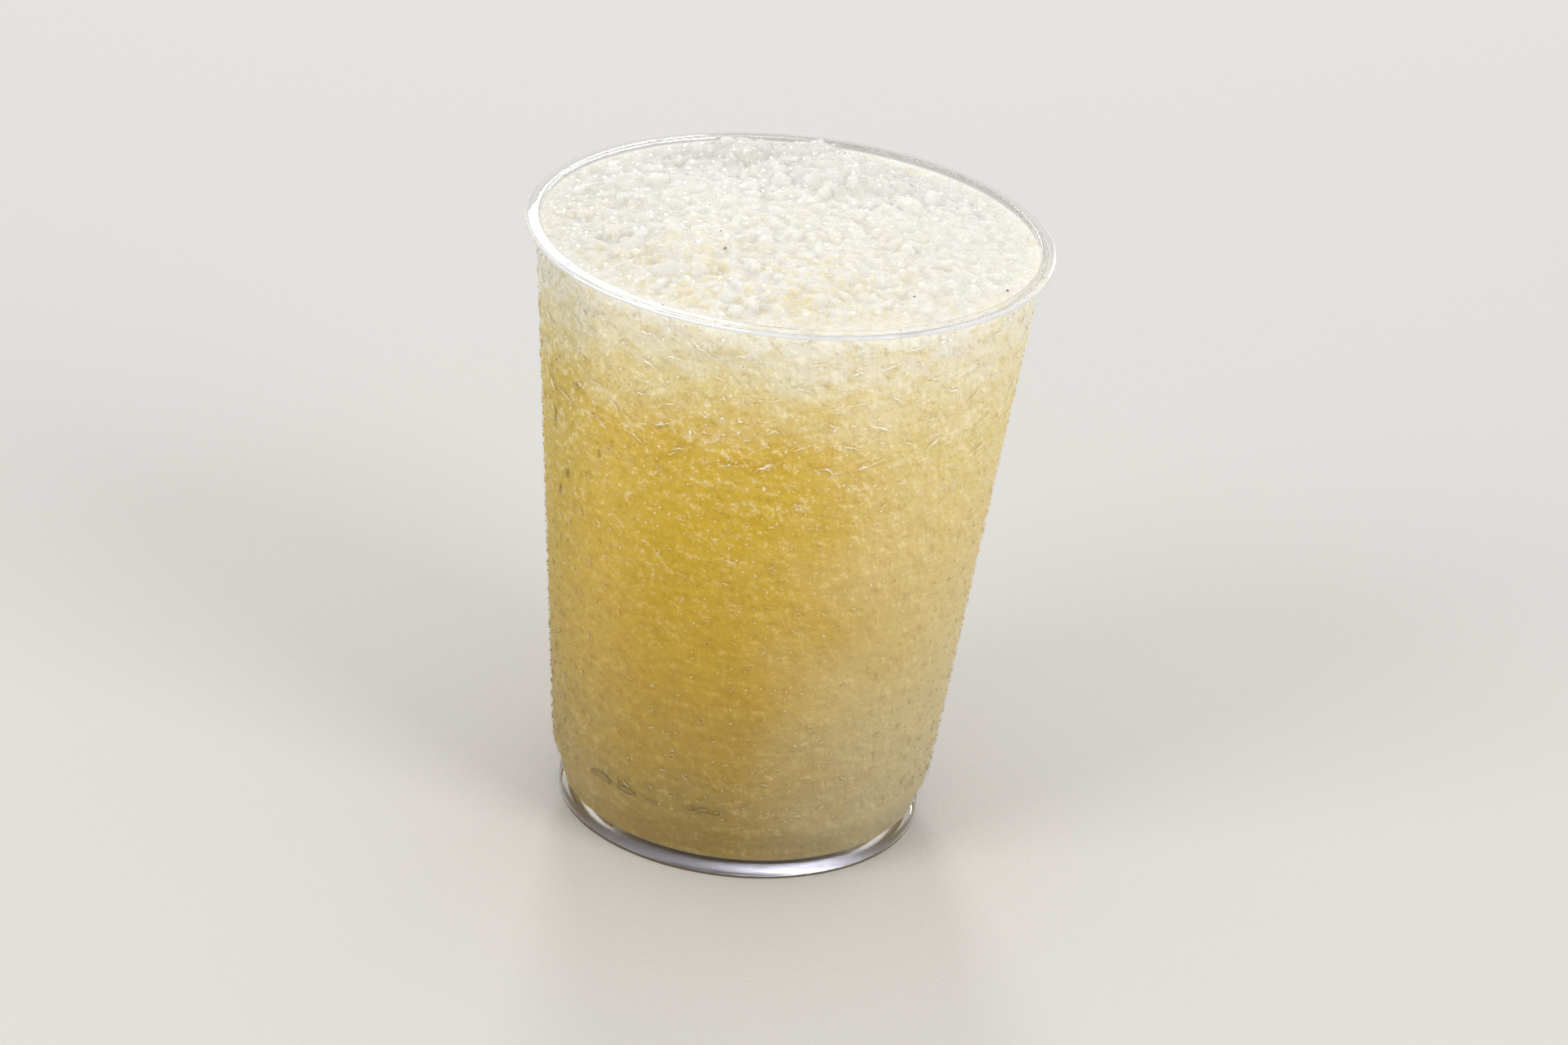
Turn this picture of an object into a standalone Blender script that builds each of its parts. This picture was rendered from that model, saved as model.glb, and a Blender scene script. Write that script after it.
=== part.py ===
"""A frozen slush drink that fills one clear plastic tumbler. Metres, +Z up, foot of the tumbler at z = 0.

The tumbler is one turned shell: a foot ring, a stacking step, a straight tapered wall and a flat lip.
The slush is one solid that fills it from the floor to the lip, with an uneven icy top and ice chips
frozen into it.
"""
from math import cos, exp, pi, radians, sin, sqrt, tau
from random import Random

import bmesh
import bpy
from mathutils import Euler, Matrix, Vector, geometry, noise

# Tumbler: overall height, lip radius and wall thickness drive the rest.
CUP_HEIGHT = 0.0900
LIP_RADIUS = 0.0375
WALL_THICKNESS = 0.0007
LIP_THICKNESS = 0.0008
LIP_EDGE_ROUND = 0.00025
WALL_TAPER = 0.100
STEP_RADIUS = 0.0281
STEP_BOTTOM = 0.0036
STEP_TOP = 0.0096
FOOT_RADIUS = 0.0263
FOOT_EDGE_ROUND = 0.0006
FOOT_FLAT_WIDTH = 0.0010
FLOOR_BOTTOM = 0.0020
FLOOR_TOP = 0.0029
FLOOR_CORNER_ROUND = 0.0012
CUP_SEGMENTS = 64
STEP_SEGMENTS = 4

# Slush: a small gap to the tumbler, an edge just under the lip, and a low dome.
SLUSH_GAP = 0.0003
SLUSH_EDGE_DROP = 0.0010
DOME_RISE = 0.0022
SLUSH_SEGMENTS = 96
TOP_GRID_STEP = 0.00145
SWELL_SIZE = 0.013
SWELL_HEIGHT = 0.0008
GRAIN_SIZE = 0.0034
GRAIN_HEIGHT = 0.00085
CRUMB_SIZE = 0.0017
CRUMB_HEIGHT = 0.00045
EDGE_CALM_WIDTH = 0.0045

# Lumps that stand out of the top: x, y, radius, height.
LUMPS = (
    (-0.0133, -0.0125, 0.0062, 0.0016),
    (0.0074, 0.0206, 0.0070, 0.0018),
    (-0.0078, 0.0290, 0.0045, 0.0016),
    (0.0018, 0.0300, 0.0048, 0.0018),
    (0.0190, 0.0030, 0.0080, 0.0009),
    (-0.0210, 0.0090, 0.0065, 0.0009),
)

# Ice chips frozen into the top.
CHIP_COUNT = 88
CHIP_LENGTHS = (0.0020, 0.0044)
CHIP_REACH = 0.0315
CHIP_CORNER_SPREAD = (0.72, 1.22)
CHIP_SEED = 41

CLEAR_PLASTIC = ((0.90, 0.93, 0.95, 1.0), 0.08)
PALE_YELLOW_ICE = ((0.86, 0.76, 0.45, 1.0), 0.45)


def outer_radius(z):
    """Outside radius of the tumbler at a height, lip left out."""
    wall = STEP_RADIUS + WALL_TAPER * (z - STEP_TOP)
    if z >= STEP_TOP:
        return wall
    if z <= STEP_BOTTOM:
        return FOOT_RADIUS
    t = (z - STEP_BOTTOM) / (STEP_TOP - STEP_BOTTOM)
    ease = t * t * (3 - 2 * t)
    return FOOT_RADIUS + (STEP_RADIUS - FOOT_RADIUS) * ease


def inner_radius(z):
    """Inside radius of the tumbler at a height."""
    return outer_radius(z) - WALL_THICKNESS


def quarter_arc(centre_r, centre_z, radius, start, steps):
    """Points on a quarter circle in the r-z plane, turning left from the start angle."""
    points = []
    for k in range(steps + 1):
        angle = start + k * pi / 2 / steps
        points.append((centre_r + radius * cos(angle), centre_z + radius * sin(angle)))
    return points


def step_heights():
    """Heights evenly spaced over the stacking step, both ends included."""
    rise = (STEP_TOP - STEP_BOTTOM) / STEP_SEGMENTS
    return [STEP_BOTTOM + rise * k for k in range(STEP_SEGMENTS + 1)]


def tumbler_outline():
    """The shell's section, from the axis under the floor, up the outside and back to the axis."""
    foot_bottom = FOOT_RADIUS - FOOT_EDGE_ROUND
    foot_inside = foot_bottom - FOOT_FLAT_WIDTH
    outline = [(0.0, FLOOR_BOTTOM), (foot_inside - FLOOR_BOTTOM / 2, FLOOR_BOTTOM), (foot_inside, 0.0)]
    outline += quarter_arc(foot_bottom, FOOT_EDGE_ROUND, FOOT_EDGE_ROUND, -pi / 2, 2)
    outline += [(outer_radius(z), z) for z in step_heights()]
    lip_bottom = CUP_HEIGHT - LIP_THICKNESS
    edge = LIP_EDGE_ROUND
    outline.append((outer_radius(lip_bottom), lip_bottom))
    outline += quarter_arc(LIP_RADIUS - edge, lip_bottom + edge, edge, -pi / 2, 2)
    outline += quarter_arc(LIP_RADIUS - edge, CUP_HEIGHT - edge, edge, 0, 2)
    outline += quarter_arc(inner_radius(CUP_HEIGHT) + edge, CUP_HEIGHT - edge, edge, pi / 2, 2)
    outline += inner_outline(0.0)[::-1]
    return outline


def inner_outline(gap):
    """The inside from the axis at the floor up to the last height of the step, moved in by a gap."""
    floor = FLOOR_TOP + gap
    corner = FLOOR_CORNER_ROUND
    wall = inner_radius(floor) - gap
    outline = [(0.0, floor)]
    outline += quarter_arc(wall - corner, floor + corner, corner, -pi / 2, 2)
    outline += [(inner_radius(z) - gap, z) for z in step_heights()[1:]]
    return outline


def turned(outline, segments):
    """A mesh made by turning an outline in the r-z plane about the Z axis."""
    mesh = bmesh.new()
    corners = [mesh.verts.new((r, 0.0, z)) for r, z in outline]
    edges = [mesh.edges.new(pair) for pair in zip(corners, corners[1:])]
    bmesh.ops.spin(mesh, geom=corners + edges, cent=(0, 0, 0), axis=(0, 0, 1), angle=tau,
                   steps=segments, use_merge=True)
    bmesh.ops.remove_doubles(mesh, verts=mesh.verts, dist=0.000001)
    return mesh


def material(name, finish):
    """A plain material from a colour and a roughness."""
    colour, roughness = finish
    plain = bpy.data.materials.new(name)
    plain.use_nodes = True
    shader = plain.node_tree.nodes["Principled BSDF"]
    shader.inputs["Base Color"].default_value = colour
    shader.inputs["Roughness"].default_value = roughness
    shader.inputs["Metallic"].default_value = 0.0
    plain.diffuse_color = colour
    return plain


def place(name, mesh, finish, collection=None):
    """Put a bmesh into the scene as one named object with its own material."""
    bmesh.ops.recalc_face_normals(mesh, faces=mesh.faces)
    data = bpy.data.meshes.new(name)
    mesh.to_mesh(data)
    mesh.free()
    piece = bpy.data.objects.new(name, data)
    data.materials.append(finish)
    (collection or bpy.context.scene.collection).objects.link(piece)
    return piece


def lump_height(x, y):
    """Height that the named lumps add at a point of the top."""
    height = 0.0
    for lump_x, lump_y, radius, rise in LUMPS:
        away = ((x - lump_x) ** 2 + (y - lump_y) ** 2) / radius ** 2
        height += rise * exp(-away * away)
    return height


def top_height(x, y, edge_radius):
    """Height of the slush's top: a low dome with swells, lumps and grains, calm at the wall."""
    r = sqrt(x * x + y * y)
    edge = CUP_HEIGHT - SLUSH_EDGE_DROP
    calm = min(1.0, (edge_radius - r) / EDGE_CALM_WIDTH)
    dome = DOME_RISE * (1 - (r / edge_radius) ** 2)
    swell = SWELL_HEIGHT * noise.noise(Vector((x, y, 0.3)) / SWELL_SIZE)
    cells = noise.voronoi(Vector((x, y, 0.1)) / GRAIN_SIZE)[0]
    grain = GRAIN_HEIGHT * min(1.0, cells[1] - cells[0])
    crumb = CRUMB_HEIGHT * noise.noise(Vector((x, y, 0.7)) / CRUMB_SIZE)
    return edge + dome + calm * (swell + grain + crumb + lump_height(x, y))


def slush_top_points(edge_radius):
    """Flat positions of the top's corners: a ring at the wall, then a triangle grid inside it."""
    ring = [Vector((edge_radius * cos(tau * k / SLUSH_SEGMENTS), edge_radius * sin(tau * k / SLUSH_SEGMENTS)))
            for k in range(SLUSH_SEGMENTS)]
    grid = []
    row_step = TOP_GRID_STEP * sqrt(3) / 2
    rows = int(edge_radius / row_step)
    columns = int(edge_radius / TOP_GRID_STEP) + 1
    inner_limit = edge_radius - TOP_GRID_STEP * 0.8
    for row in range(-rows, rows + 1):
        shift = TOP_GRID_STEP / 2 if row % 2 else 0.0
        for column in range(-columns, columns + 1):
            point = Vector((column * TOP_GRID_STEP + shift, row * row_step))
            if point.length < inner_limit:
                grid.append(point)
    return ring, grid


def slush_body():
    """The slush without its chips: turned sides that follow the tumbler, and an uneven top."""
    edge_height = CUP_HEIGHT - SLUSH_EDGE_DROP
    edge_radius = inner_radius(edge_height) - SLUSH_GAP
    outline = inner_outline(SLUSH_GAP)
    outline += [(edge_radius, edge_height)]
    mesh = turned(outline, SLUSH_SEGMENTS)
    ring, grid = slush_top_points(edge_radius)
    ring_edges = [(k, (k + 1) % len(ring)) for k in range(len(ring))]
    flat = geometry.delaunay_2d_cdt(ring + grid, ring_edges, [], 1, 0.000001)
    corners = [mesh.verts.new((p.x, p.y, top_height(p.x, p.y, edge_radius))) for p in flat[0]]
    for triangle in flat[2]:
        mesh.faces.new([corners[k] for k in triangle])
    bmesh.ops.remove_doubles(mesh, verts=mesh.verts, dist=0.00001)
    return mesh


def chip_places(edge_radius, draw):
    """Chips spread evenly over the top on a sunflower spiral, each nudged and turned at random."""
    golden_angle = pi * (3 - sqrt(5))
    for k in range(CHIP_COUNT):
        radius = CHIP_REACH * sqrt((k + 0.5) / CHIP_COUNT)
        angle = k * golden_angle + draw.uniform(-0.10, 0.10)
        x = radius * cos(angle)
        y = radius * sin(angle)
        length = draw.uniform(*CHIP_LENGTHS)
        width = length * draw.uniform(0.55, 0.85)
        thickness = length * draw.uniform(0.28, 0.45)
        turn = Euler((radians(draw.uniform(-28, 28)), radians(draw.uniform(-28, 28)), draw.uniform(0, tau)))
        height = top_height(x, y, edge_radius) + 0.05 * thickness
        yield Vector((x, y, height)), turn, Vector((length, width, thickness)) / 2


def ice_chip(pose, draw):
    """One broken bit of ice: a twenty-sided block with its corners pulled in and out."""
    mesh = bmesh.new()
    corners = bmesh.ops.create_icosphere(mesh, subdivisions=1, radius=1.0)["verts"]
    for corner in corners:
        corner.co *= draw.uniform(*CHIP_CORNER_SPREAD)
    bmesh.ops.transform(mesh, matrix=pose, verts=corners)
    return mesh


def add_chips(slush):
    """Fuse ice chips into the top of the slush with one union."""
    chips = bpy.data.collections.new("chips")
    bpy.context.scene.collection.children.link(chips)
    edge_radius = inner_radius(CUP_HEIGHT - SLUSH_EDGE_DROP) - SLUSH_GAP
    draw = Random(CHIP_SEED)
    for k, (centre, turn, half_size) in enumerate(chip_places(edge_radius, draw)):
        chip = ice_chip(Matrix.LocRotScale(centre, turn, half_size), draw)
        place(f"chip_{k}", chip, slush.data.materials[0], chips)
    union = slush.modifiers.new("chips", "BOOLEAN")
    union.operation = "UNION"
    union.operand_type = "COLLECTION"
    union.collection = chips
    union.solver = "EXACT"
    bpy.context.view_layer.update()
    fused = bpy.data.meshes.new_from_object(slush.evaluated_get(bpy.context.evaluated_depsgraph_get()))
    slush.modifiers.clear()
    slush.data = fused
    for chip in list(chips.objects):
        bpy.data.objects.remove(chip)
    bpy.data.collections.remove(chips)


def main():
    for leftover in list(bpy.data.objects):
        bpy.data.objects.remove(leftover)

    cup = place("cup", turned(tumbler_outline(), CUP_SEGMENTS), material("clear_plastic", CLEAR_PLASTIC))
    cup.data.shade_smooth()
    cup.data.set_sharp_from_angle(angle=radians(35))

    slush = place("slush", slush_body(), material("pale_yellow_ice", PALE_YELLOW_ICE))
    add_chips(slush)
    slush.data.shade_smooth()
    slush.data.set_sharp_from_angle(angle=radians(35))


main()
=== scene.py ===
# A frozen slush drink in a clear tumbler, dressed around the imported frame. Metres, +Z up.
from math import cos, exp, hypot, pi, radians, sin, sqrt, tau
from random import Random

import bmesh
import bpy
from mathutils import Euler, Matrix, Quaternion, Vector, geometry, noise
from mathutils.bvhtree import BVHTree


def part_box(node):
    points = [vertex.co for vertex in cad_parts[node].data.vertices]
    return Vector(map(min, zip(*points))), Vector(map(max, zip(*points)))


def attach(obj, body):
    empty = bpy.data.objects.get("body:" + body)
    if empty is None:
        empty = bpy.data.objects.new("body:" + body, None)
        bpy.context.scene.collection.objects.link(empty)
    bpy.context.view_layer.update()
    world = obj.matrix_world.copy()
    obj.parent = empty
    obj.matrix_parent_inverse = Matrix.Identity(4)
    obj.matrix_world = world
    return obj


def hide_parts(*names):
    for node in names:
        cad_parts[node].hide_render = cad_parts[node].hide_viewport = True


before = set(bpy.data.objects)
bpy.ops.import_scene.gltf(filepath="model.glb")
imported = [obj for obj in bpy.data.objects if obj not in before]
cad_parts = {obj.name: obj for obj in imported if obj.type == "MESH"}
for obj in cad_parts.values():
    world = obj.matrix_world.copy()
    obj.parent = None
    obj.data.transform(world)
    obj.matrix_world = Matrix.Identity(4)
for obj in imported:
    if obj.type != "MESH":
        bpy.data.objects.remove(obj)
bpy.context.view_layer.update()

scene = bpy.context.scene


# The camera stands where the photographer did: a long lens, 75 cm in front of the drink and
# 40 cm up, looking down at it and held a little out of level.
LENS = 131.25
SENSOR_WIDTH = 36.0
NEAREST_SEEN = 0.01
CAMERA_PLACE = Vector((0.0, -0.7447, 0.3933))
CAMERA_TARGET = Vector((0.0030, 0.0, 0.0445))
CAMERA_ROLL = radians(5.59)

camera_data = bpy.data.cameras.new("camera")
camera_data.lens = LENS
camera_data.sensor_width = SENSOR_WIDTH
camera_data.clip_start = NEAREST_SEEN
camera = bpy.data.objects.new("camera", camera_data)
camera.rotation_mode = "QUATERNION"
aim = (CAMERA_TARGET - CAMERA_PLACE).to_track_quat("-Z", "Y")
camera.rotation_quaternion = aim @ Quaternion((0, 0, 1), CAMERA_ROLL)
camera.location = CAMERA_PLACE
scene.collection.objects.link(camera)
scene.camera = camera


# The studio: a floor of matt pale card, an even pale room and soft lamps. Two broad lamps stand
# in front, left and right, and smaller ones hang behind for the lip and the wet ice to catch.
# Each lamp has a name, a place, a size, a power, a colour, and whether clear things show it.
ROOM_COLOUR = (1.0, 0.99, 0.97, 1.0)
ROOM_STRENGTH = 0.74
LAMPS = (
    ("back_lamp", (-0.165, 1.15, 0.70), (0.25, 0.30), 3.6, (1.0, 1.0, 0.99), False),
    ("glint_lamp", (-0.09, 1.12, 0.64), (0.14, 0.10), 0.7, (0.92, 0.95, 1.0), True),
    ("edge_lamp", (0.49, 1.06, 0.37), (0.30, 0.40), 0.7, (1.0, 1.0, 0.99), False),
    ("left_lamp", (-0.92, -0.77, 0.80), (0.60, 0.70), 6.6, (1.0, 0.99, 0.97), False),
    ("right_lamp", (0.92, -0.77, 0.80), (0.60, 0.70), 7.0, (1.0, 0.99, 0.97), False),
)
LAMP_AIM = Vector((0.0, 0.0, 0.05))
FLOOR_HALF = 2.5
FLOOR_COLOUR = (0.62, 0.61, 0.595, 1.0)
FLOOR_ROUGHNESS = 0.85
FIBRE_SCALE = 900.0
FIBRE_HEIGHT = 0.0001


class Wire:
    """One output in a node tree. Arithmetic on wires adds the Math nodes that do it."""

    def __init__(self, web, socket):
        self.web = web
        self.socket = socket

    def math(self, operation, *values):
        return self.web.add("ShaderNodeMath", {"operation": operation}, dict(enumerate(values)))

    def __add__(self, other):
        return self.math("ADD", self, other)

    def __radd__(self, other):
        return self.math("ADD", other, self)

    def __sub__(self, other):
        return self.math("SUBTRACT", self, other)

    def __rsub__(self, other):
        return self.math("SUBTRACT", other, self)

    def __mul__(self, other):
        return self.math("MULTIPLY", self, other)

    def __rmul__(self, other):
        return self.math("MULTIPLY", other, self)

    def __truediv__(self, other):
        return self.math("DIVIDE", self, other)

    def __rtruediv__(self, other):
        return self.math("DIVIDE", other, self)

    def __gt__(self, other):
        return self.math("GREATER_THAN", self, other)

    def kept_under(self, most):
        return self.math("MINIMUM", self, most)

    def kept_over(self, least):
        return self.math("MAXIMUM", self, least)

    def fraction(self):
        return self.math("FRACT", self)

    def angle_from(self, other):
        """The angle of a point whose y is this wire and whose x is the other."""
        return self.math("ARCTAN2", self, other)


class Web:
    """A node tree that is being built. Every node comes from add()."""

    def __init__(self, tree):
        self.tree = tree

    def add(self, kind, settings=None, inputs=None, output=0):
        node = self.tree.nodes.new(kind)
        for setting, value in (settings or {}).items():
            if setting == "stops":
                self.set_stops(node.color_ramp, value)
            else:
                setattr(node, setting, value)
        for key, value in (inputs or {}).items():
            if isinstance(value, Wire):
                self.tree.links.new(value.socket, node.inputs[key])
            else:
                node.inputs[key].default_value = value
        return Wire(self, node.outputs[output]) if node.outputs else None

    def set_stops(self, ramp, stops):
        while len(ramp.elements) < len(stops):
            ramp.elements.new(1.0)
        for element, (position, colour) in zip(ramp.elements, stops):
            element.position = position
            element.color = colour

    def axis(self, vector, name):
        return self.add("ShaderNodeSeparateXYZ", None, {0: vector}, name)

    def vector(self, operation, *values, output=0):
        return self.add("ShaderNodeVectorMath", {"operation": operation}, dict(enumerate(values)), output)

    def scaled(self, vector, amount):
        """A vector times one number."""
        return self.add("ShaderNodeVectorMath", {"operation": "SCALE"}, {0: vector, "Scale": amount})

    def stretched(self, vector, scale):
        """A vector times a scale on each axis."""
        return self.vector("MULTIPLY", vector, scale)

    def reach(self):
        """Distance from the tumbler's axis."""
        return self.vector("LENGTH", self.stretched(self.place(), (1.0, 1.0, 0.0)), output="Value")

    def cloud(self, vector, scale, detail=3.0, roughness=0.5, output=0):
        """Noise in 0 to 1 around 0.5."""
        inputs = {"Vector": vector, "Scale": scale, "Detail": detail, "Roughness": roughness}
        return self.add("ShaderNodeTexNoise", None, inputs, output)


class Finish(Web):
    """One material and its shader tree."""

    def __init__(self, name):
        self.material = bpy.data.materials.new(name)
        self.material.use_nodes = True
        super().__init__(self.material.node_tree)
        self.tree.nodes.clear()

    def place(self):
        return self.add("ShaderNodeTexCoord", output="Object")

    def ramp(self, value, stops):
        return self.add("ShaderNodeValToRGB", {"stops": stops}, {0: value})

    def band(self, value, low, high):
        """0 below low, 1 above high, smooth between."""
        inputs = {0: value, 1: low, 2: high, 3: 0.0, 4: 1.0}
        return self.add("ShaderNodeMapRange", {"interpolation_type": "SMOOTHSTEP"}, inputs)

    def blend(self, factor, first, second, mode="MIX"):
        settings = {"data_type": "RGBA", "blend_type": mode}
        return self.add("ShaderNodeMix", settings, {0: factor, 6: first, 7: second}, 2)

    def bump(self, height, distance, normal=None):
        inputs = {"Height": height, "Distance": distance}
        if normal:
            inputs["Normal"] = normal
        return self.add("ShaderNodeBump", None, inputs)

    def surface(self, inputs):
        return self.add("ShaderNodeBsdfPrincipled", None, inputs)

    def overlaid(self, factor, first, second):
        """The first surface, covered by the second as far as the factor says."""
        return self.add("ShaderNodeMixShader", None, {0: factor, 1: first, 2: second})

    def close(self, shader):
        self.add("ShaderNodeOutputMaterial", None, {"Surface": shader})
        return self.material


def card_finish():
    finish = Finish("card")
    fibres = finish.cloud(finish.place(), FIBRE_SCALE, 4.0, 0.6)
    return finish.close(finish.surface({
        "Base Color": FLOOR_COLOUR, "Roughness": FLOOR_ROUGHNESS,
        "Normal": finish.bump(fibres, FIBRE_HEIGHT)}))


def as_object(name, mesh, finish=None, smooth=True):
    """Turns a bmesh into a linked object with its material, and frees the bmesh."""
    data = bpy.data.meshes.new(name)
    mesh.to_mesh(data)
    mesh.free()
    if smooth:
        data.shade_smooth()
    if finish:
        data.materials.append(finish)
    piece = bpy.data.objects.new(name, data)
    scene.collection.objects.link(piece)
    return piece


scene.view_settings.view_transform = "Standard"
scene.view_settings.look = "None"
room = bpy.data.worlds.new("room")
room.use_nodes = True
room.node_tree.nodes["Background"].inputs["Color"].default_value = ROOM_COLOUR
room.node_tree.nodes["Background"].inputs["Strength"].default_value = ROOM_STRENGTH
scene.world = room

for lamp_name, lamp_place, lamp_size, lamp_power, lamp_colour, shows_through in LAMPS:
    lamp_data = bpy.data.lights.new(lamp_name, "AREA")
    lamp_data.shape = "RECTANGLE"
    lamp_data.size, lamp_data.size_y = lamp_size
    lamp_data.energy = lamp_power
    lamp_data.color = lamp_colour
    lamp = bpy.data.objects.new(lamp_name, lamp_data)
    lamp.location = lamp_place
    lamp.rotation_euler = (LAMP_AIM - lamp.location).to_track_quat("-Z", "Y").to_euler()
    lamp.visible_camera = False
    lamp.visible_transmission = shows_through
    scene.collection.objects.link(lamp)

card = bmesh.new()
card_corners = [card.verts.new((x * FLOOR_HALF, y * FLOOR_HALF, 0.0))
                for x, y in ((-1, -1), (1, -1), (1, 1), (-1, 1))]
card.faces.new(card_corners)
as_object("floor", card, card_finish(), False)


# The tumbler: one shell of hard clear plastic, moulded with a foot ring, a stacking step, a
# tapered wall and a nearly flat lip with rounded edges. It is turned in fine steps.
cup_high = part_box("cup")[1]
CUP_HEIGHT = cup_high.z
LIP_RADIUS = cup_high.x
WALL_THICKNESS = 0.0007
WALL_TAPER = 0.100
WALL_RINGS = 8
WALL_RINGS_FROM = 0.02
STEP_RADIUS = 0.0281
STEP_BOTTOM = 0.0036
STEP_TOP = 0.0096
STEP_RINGS = 14
FOOT_RADIUS = 0.0263
FOOT_EDGE_ROUND = 0.0006
FOOT_FLAT_WIDTH = 0.0010
FOOT_BEVEL = 0.0002
FLOOR_BOTTOM = 0.0020
FLOOR_BEVEL = 0.0006
FLOOR_TOP = 0.0029
CORNER_ROUND = 0.0012
LIP_THICKNESS = 0.0008
LIP_BOTTOM = CUP_HEIGHT - LIP_THICKNESS
LIP_ROOT_ROUND = 0.0004
LIP_NOSE_ROUND = 0.00030
LIP_INNER_ROUND = 0.00012
LIP_INNER_SLOPE = radians(-1.5)
LIP_OUTER_SLOPE = radians(13)
CUP_SEGMENTS = 224
PLASTIC_TINT = (0.975, 0.985, 1.0, 1.0)
PLASTIC_INDEX = 1.50
PLASTIC_ROUGHNESS = 0.01
HAZE_ROUGHNESS = 0.03
RIPPLE_HEIGHT = 0.00004
WALL_STRAIGHT = 0.85
# The lip's and the foot's greyer colours and the lip's inner line are painted shade.
LIP_PAINTED_SHADE = (0.94, 0.94, 0.95, 1.0)
LIP_ZONE_FADE = 0.0003
LIP_LINE_PAINTED_SHADE = (0.62, 0.61, 0.58, 1.0)
LIP_LINE_WIDTH = 0.00045
FOOT_PAINTED_SHADE = (0.66, 0.645, 0.69, 1.0)
FOOT_ROUGHNESS = 0.14
# The pale lip edge is a painted highlight.
LIP_HIGHLIGHT_COLOUR = (0.80, 0.80, 0.82, 1.0)
LIP_HIGHLIGHT_ROUGHNESS = 0.25
LIP_HIGHLIGHT_WIDTH = 0.0005


def wall_radius(z):
    """Outside radius of the tumbler at a height, lip left out."""
    if z >= STEP_TOP:
        return STEP_RADIUS + WALL_TAPER * (z - STEP_TOP)
    t = max(0.0, (z - STEP_BOTTOM) / (STEP_TOP - STEP_BOTTOM))
    return FOOT_RADIUS + (STEP_RADIUS - FOOT_RADIUS) * t * t * (3 - 2 * t)


def bore_radius(z):
    """Inside radius of the tumbler at a height."""
    return wall_radius(z) - WALL_THICKNESS


def arc(centre_r, centre_z, radius, start, sweep, steps):
    """Points on an arc in the r-z plane."""
    angles = [start + sweep * k / steps for k in range(steps + 1)]
    return [(centre_r + radius * cos(a), centre_z + radius * sin(a)) for a in angles]


def heights(low, high, count):
    """Evenly spaced heights, both ends included."""
    return [low + (high - low) * k / count for k in range(count + 1)]


def lip_top():
    """The lip from its rounded outer edge, over a low crown, to its inner edge."""
    nose = arc(LIP_RADIUS - LIP_NOSE_ROUND, LIP_BOTTOM + LIP_NOSE_ROUND, LIP_NOSE_ROUND,
               -pi / 2, pi - LIP_OUTER_SLOPE, 10)
    inside = arc(bore_radius(CUP_HEIGHT) + LIP_INNER_ROUND, CUP_HEIGHT - LIP_INNER_ROUND, LIP_INNER_ROUND,
                 pi / 2 - LIP_INNER_SLOPE, pi / 2 + LIP_INNER_SLOPE, 5)
    crown_width = nose[-1][0] - inside[0][0]
    crown_radius = crown_width / (sin(LIP_OUTER_SLOPE) - sin(LIP_INNER_SLOPE))
    crown_r = inside[0][0] - crown_radius * sin(LIP_INNER_SLOPE)
    crown_z = inside[0][1] - crown_radius * cos(LIP_INNER_SLOPE)
    crown = arc(crown_r, crown_z, crown_radius, pi / 2 - LIP_OUTER_SLOPE,
                LIP_OUTER_SLOPE - LIP_INNER_SLOPE, 10)
    return nose + crown[1:-1] + inside


def tumbler_section():
    """The shell's section from the axis under the floor, round the lip and back to the axis."""
    foot_bottom = FOOT_RADIUS - FOOT_EDGE_ROUND
    foot_inside = foot_bottom - FOOT_FLAT_WIDTH
    under = foot_inside - FLOOR_BOTTOM / 2
    section = [(0.0, FLOOR_BOTTOM), (under - FLOOR_BEVEL, FLOOR_BOTTOM), (under, FLOOR_BOTTOM - FOOT_BEVEL)]
    section += [(foot_inside - FOOT_BEVEL / 2, FOOT_BEVEL), (foot_inside + FOOT_BEVEL, 0.0)]
    section += arc(foot_bottom, FOOT_EDGE_ROUND, FOOT_EDGE_ROUND, -pi / 2, pi / 2, 6)
    section += [(wall_radius(z), z) for z in heights(STEP_BOTTOM, STEP_TOP, STEP_RINGS)]
    wall_top = LIP_BOTTOM - LIP_ROOT_ROUND * 1.5
    section += [(wall_radius(z), z) for z in heights(WALL_RINGS_FROM, wall_top, WALL_RINGS)]
    section += arc(wall_radius(LIP_BOTTOM) + LIP_ROOT_ROUND, LIP_BOTTOM - LIP_ROOT_ROUND, LIP_ROOT_ROUND,
                   pi, -pi / 2, 4)
    section += lip_top()
    section += [(bore_radius(z), z) for z in heights(LIP_BOTTOM, WALL_RINGS_FROM, WALL_RINGS)]
    corner = bore_radius(FLOOR_TOP) - CORNER_ROUND
    corner_top = FLOOR_TOP + CORNER_ROUND
    section += [(bore_radius(z), z) for z in heights(STEP_TOP, STEP_BOTTOM, STEP_RINGS) if z > corner_top]
    section += arc(corner, corner_top, CORNER_ROUND, 0, -pi / 2, 6)
    section += [(0.0, FLOOR_TOP)]
    return section


def turned(section, segments):
    """A bmesh turned about Z from a section in the r-z plane, faces outwards if it runs up the outside."""
    mesh = bmesh.new()
    angles = [tau * k / segments for k in range(segments)]
    rings = []
    for r, z in section:
        if r > 0.0:
            rings.append([mesh.verts.new((r * cos(a), r * sin(a), z)) for a in angles])
        else:
            rings.append([mesh.verts.new((0.0, 0.0, z))] * segments)
    for lower, upper in zip(rings, rings[1:]):
        for k in range(segments):
            n = (k + 1) % segments
            # Two corners that meet on the axis are one, and fromkeys keeps it once.
            mesh.faces.new(dict.fromkeys((lower[k], lower[n], upper[n], upper[k])))
    return mesh


def lets_light_through(finish, shader, colour=(1.0, 1.0, 1.0, 1.0)):
    """Makes a clear thing shade what is behind it by a colour and not as if it were solid."""
    way_through = finish.add("ShaderNodeBsdfTransparent", None, {"Color": colour})
    for ray in ("Is Shadow Ray", "Is Diffuse Ray"):
        shader = finish.overlaid(finish.add("ShaderNodeLightPath", output=ray), shader, way_through)
    return shader


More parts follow.
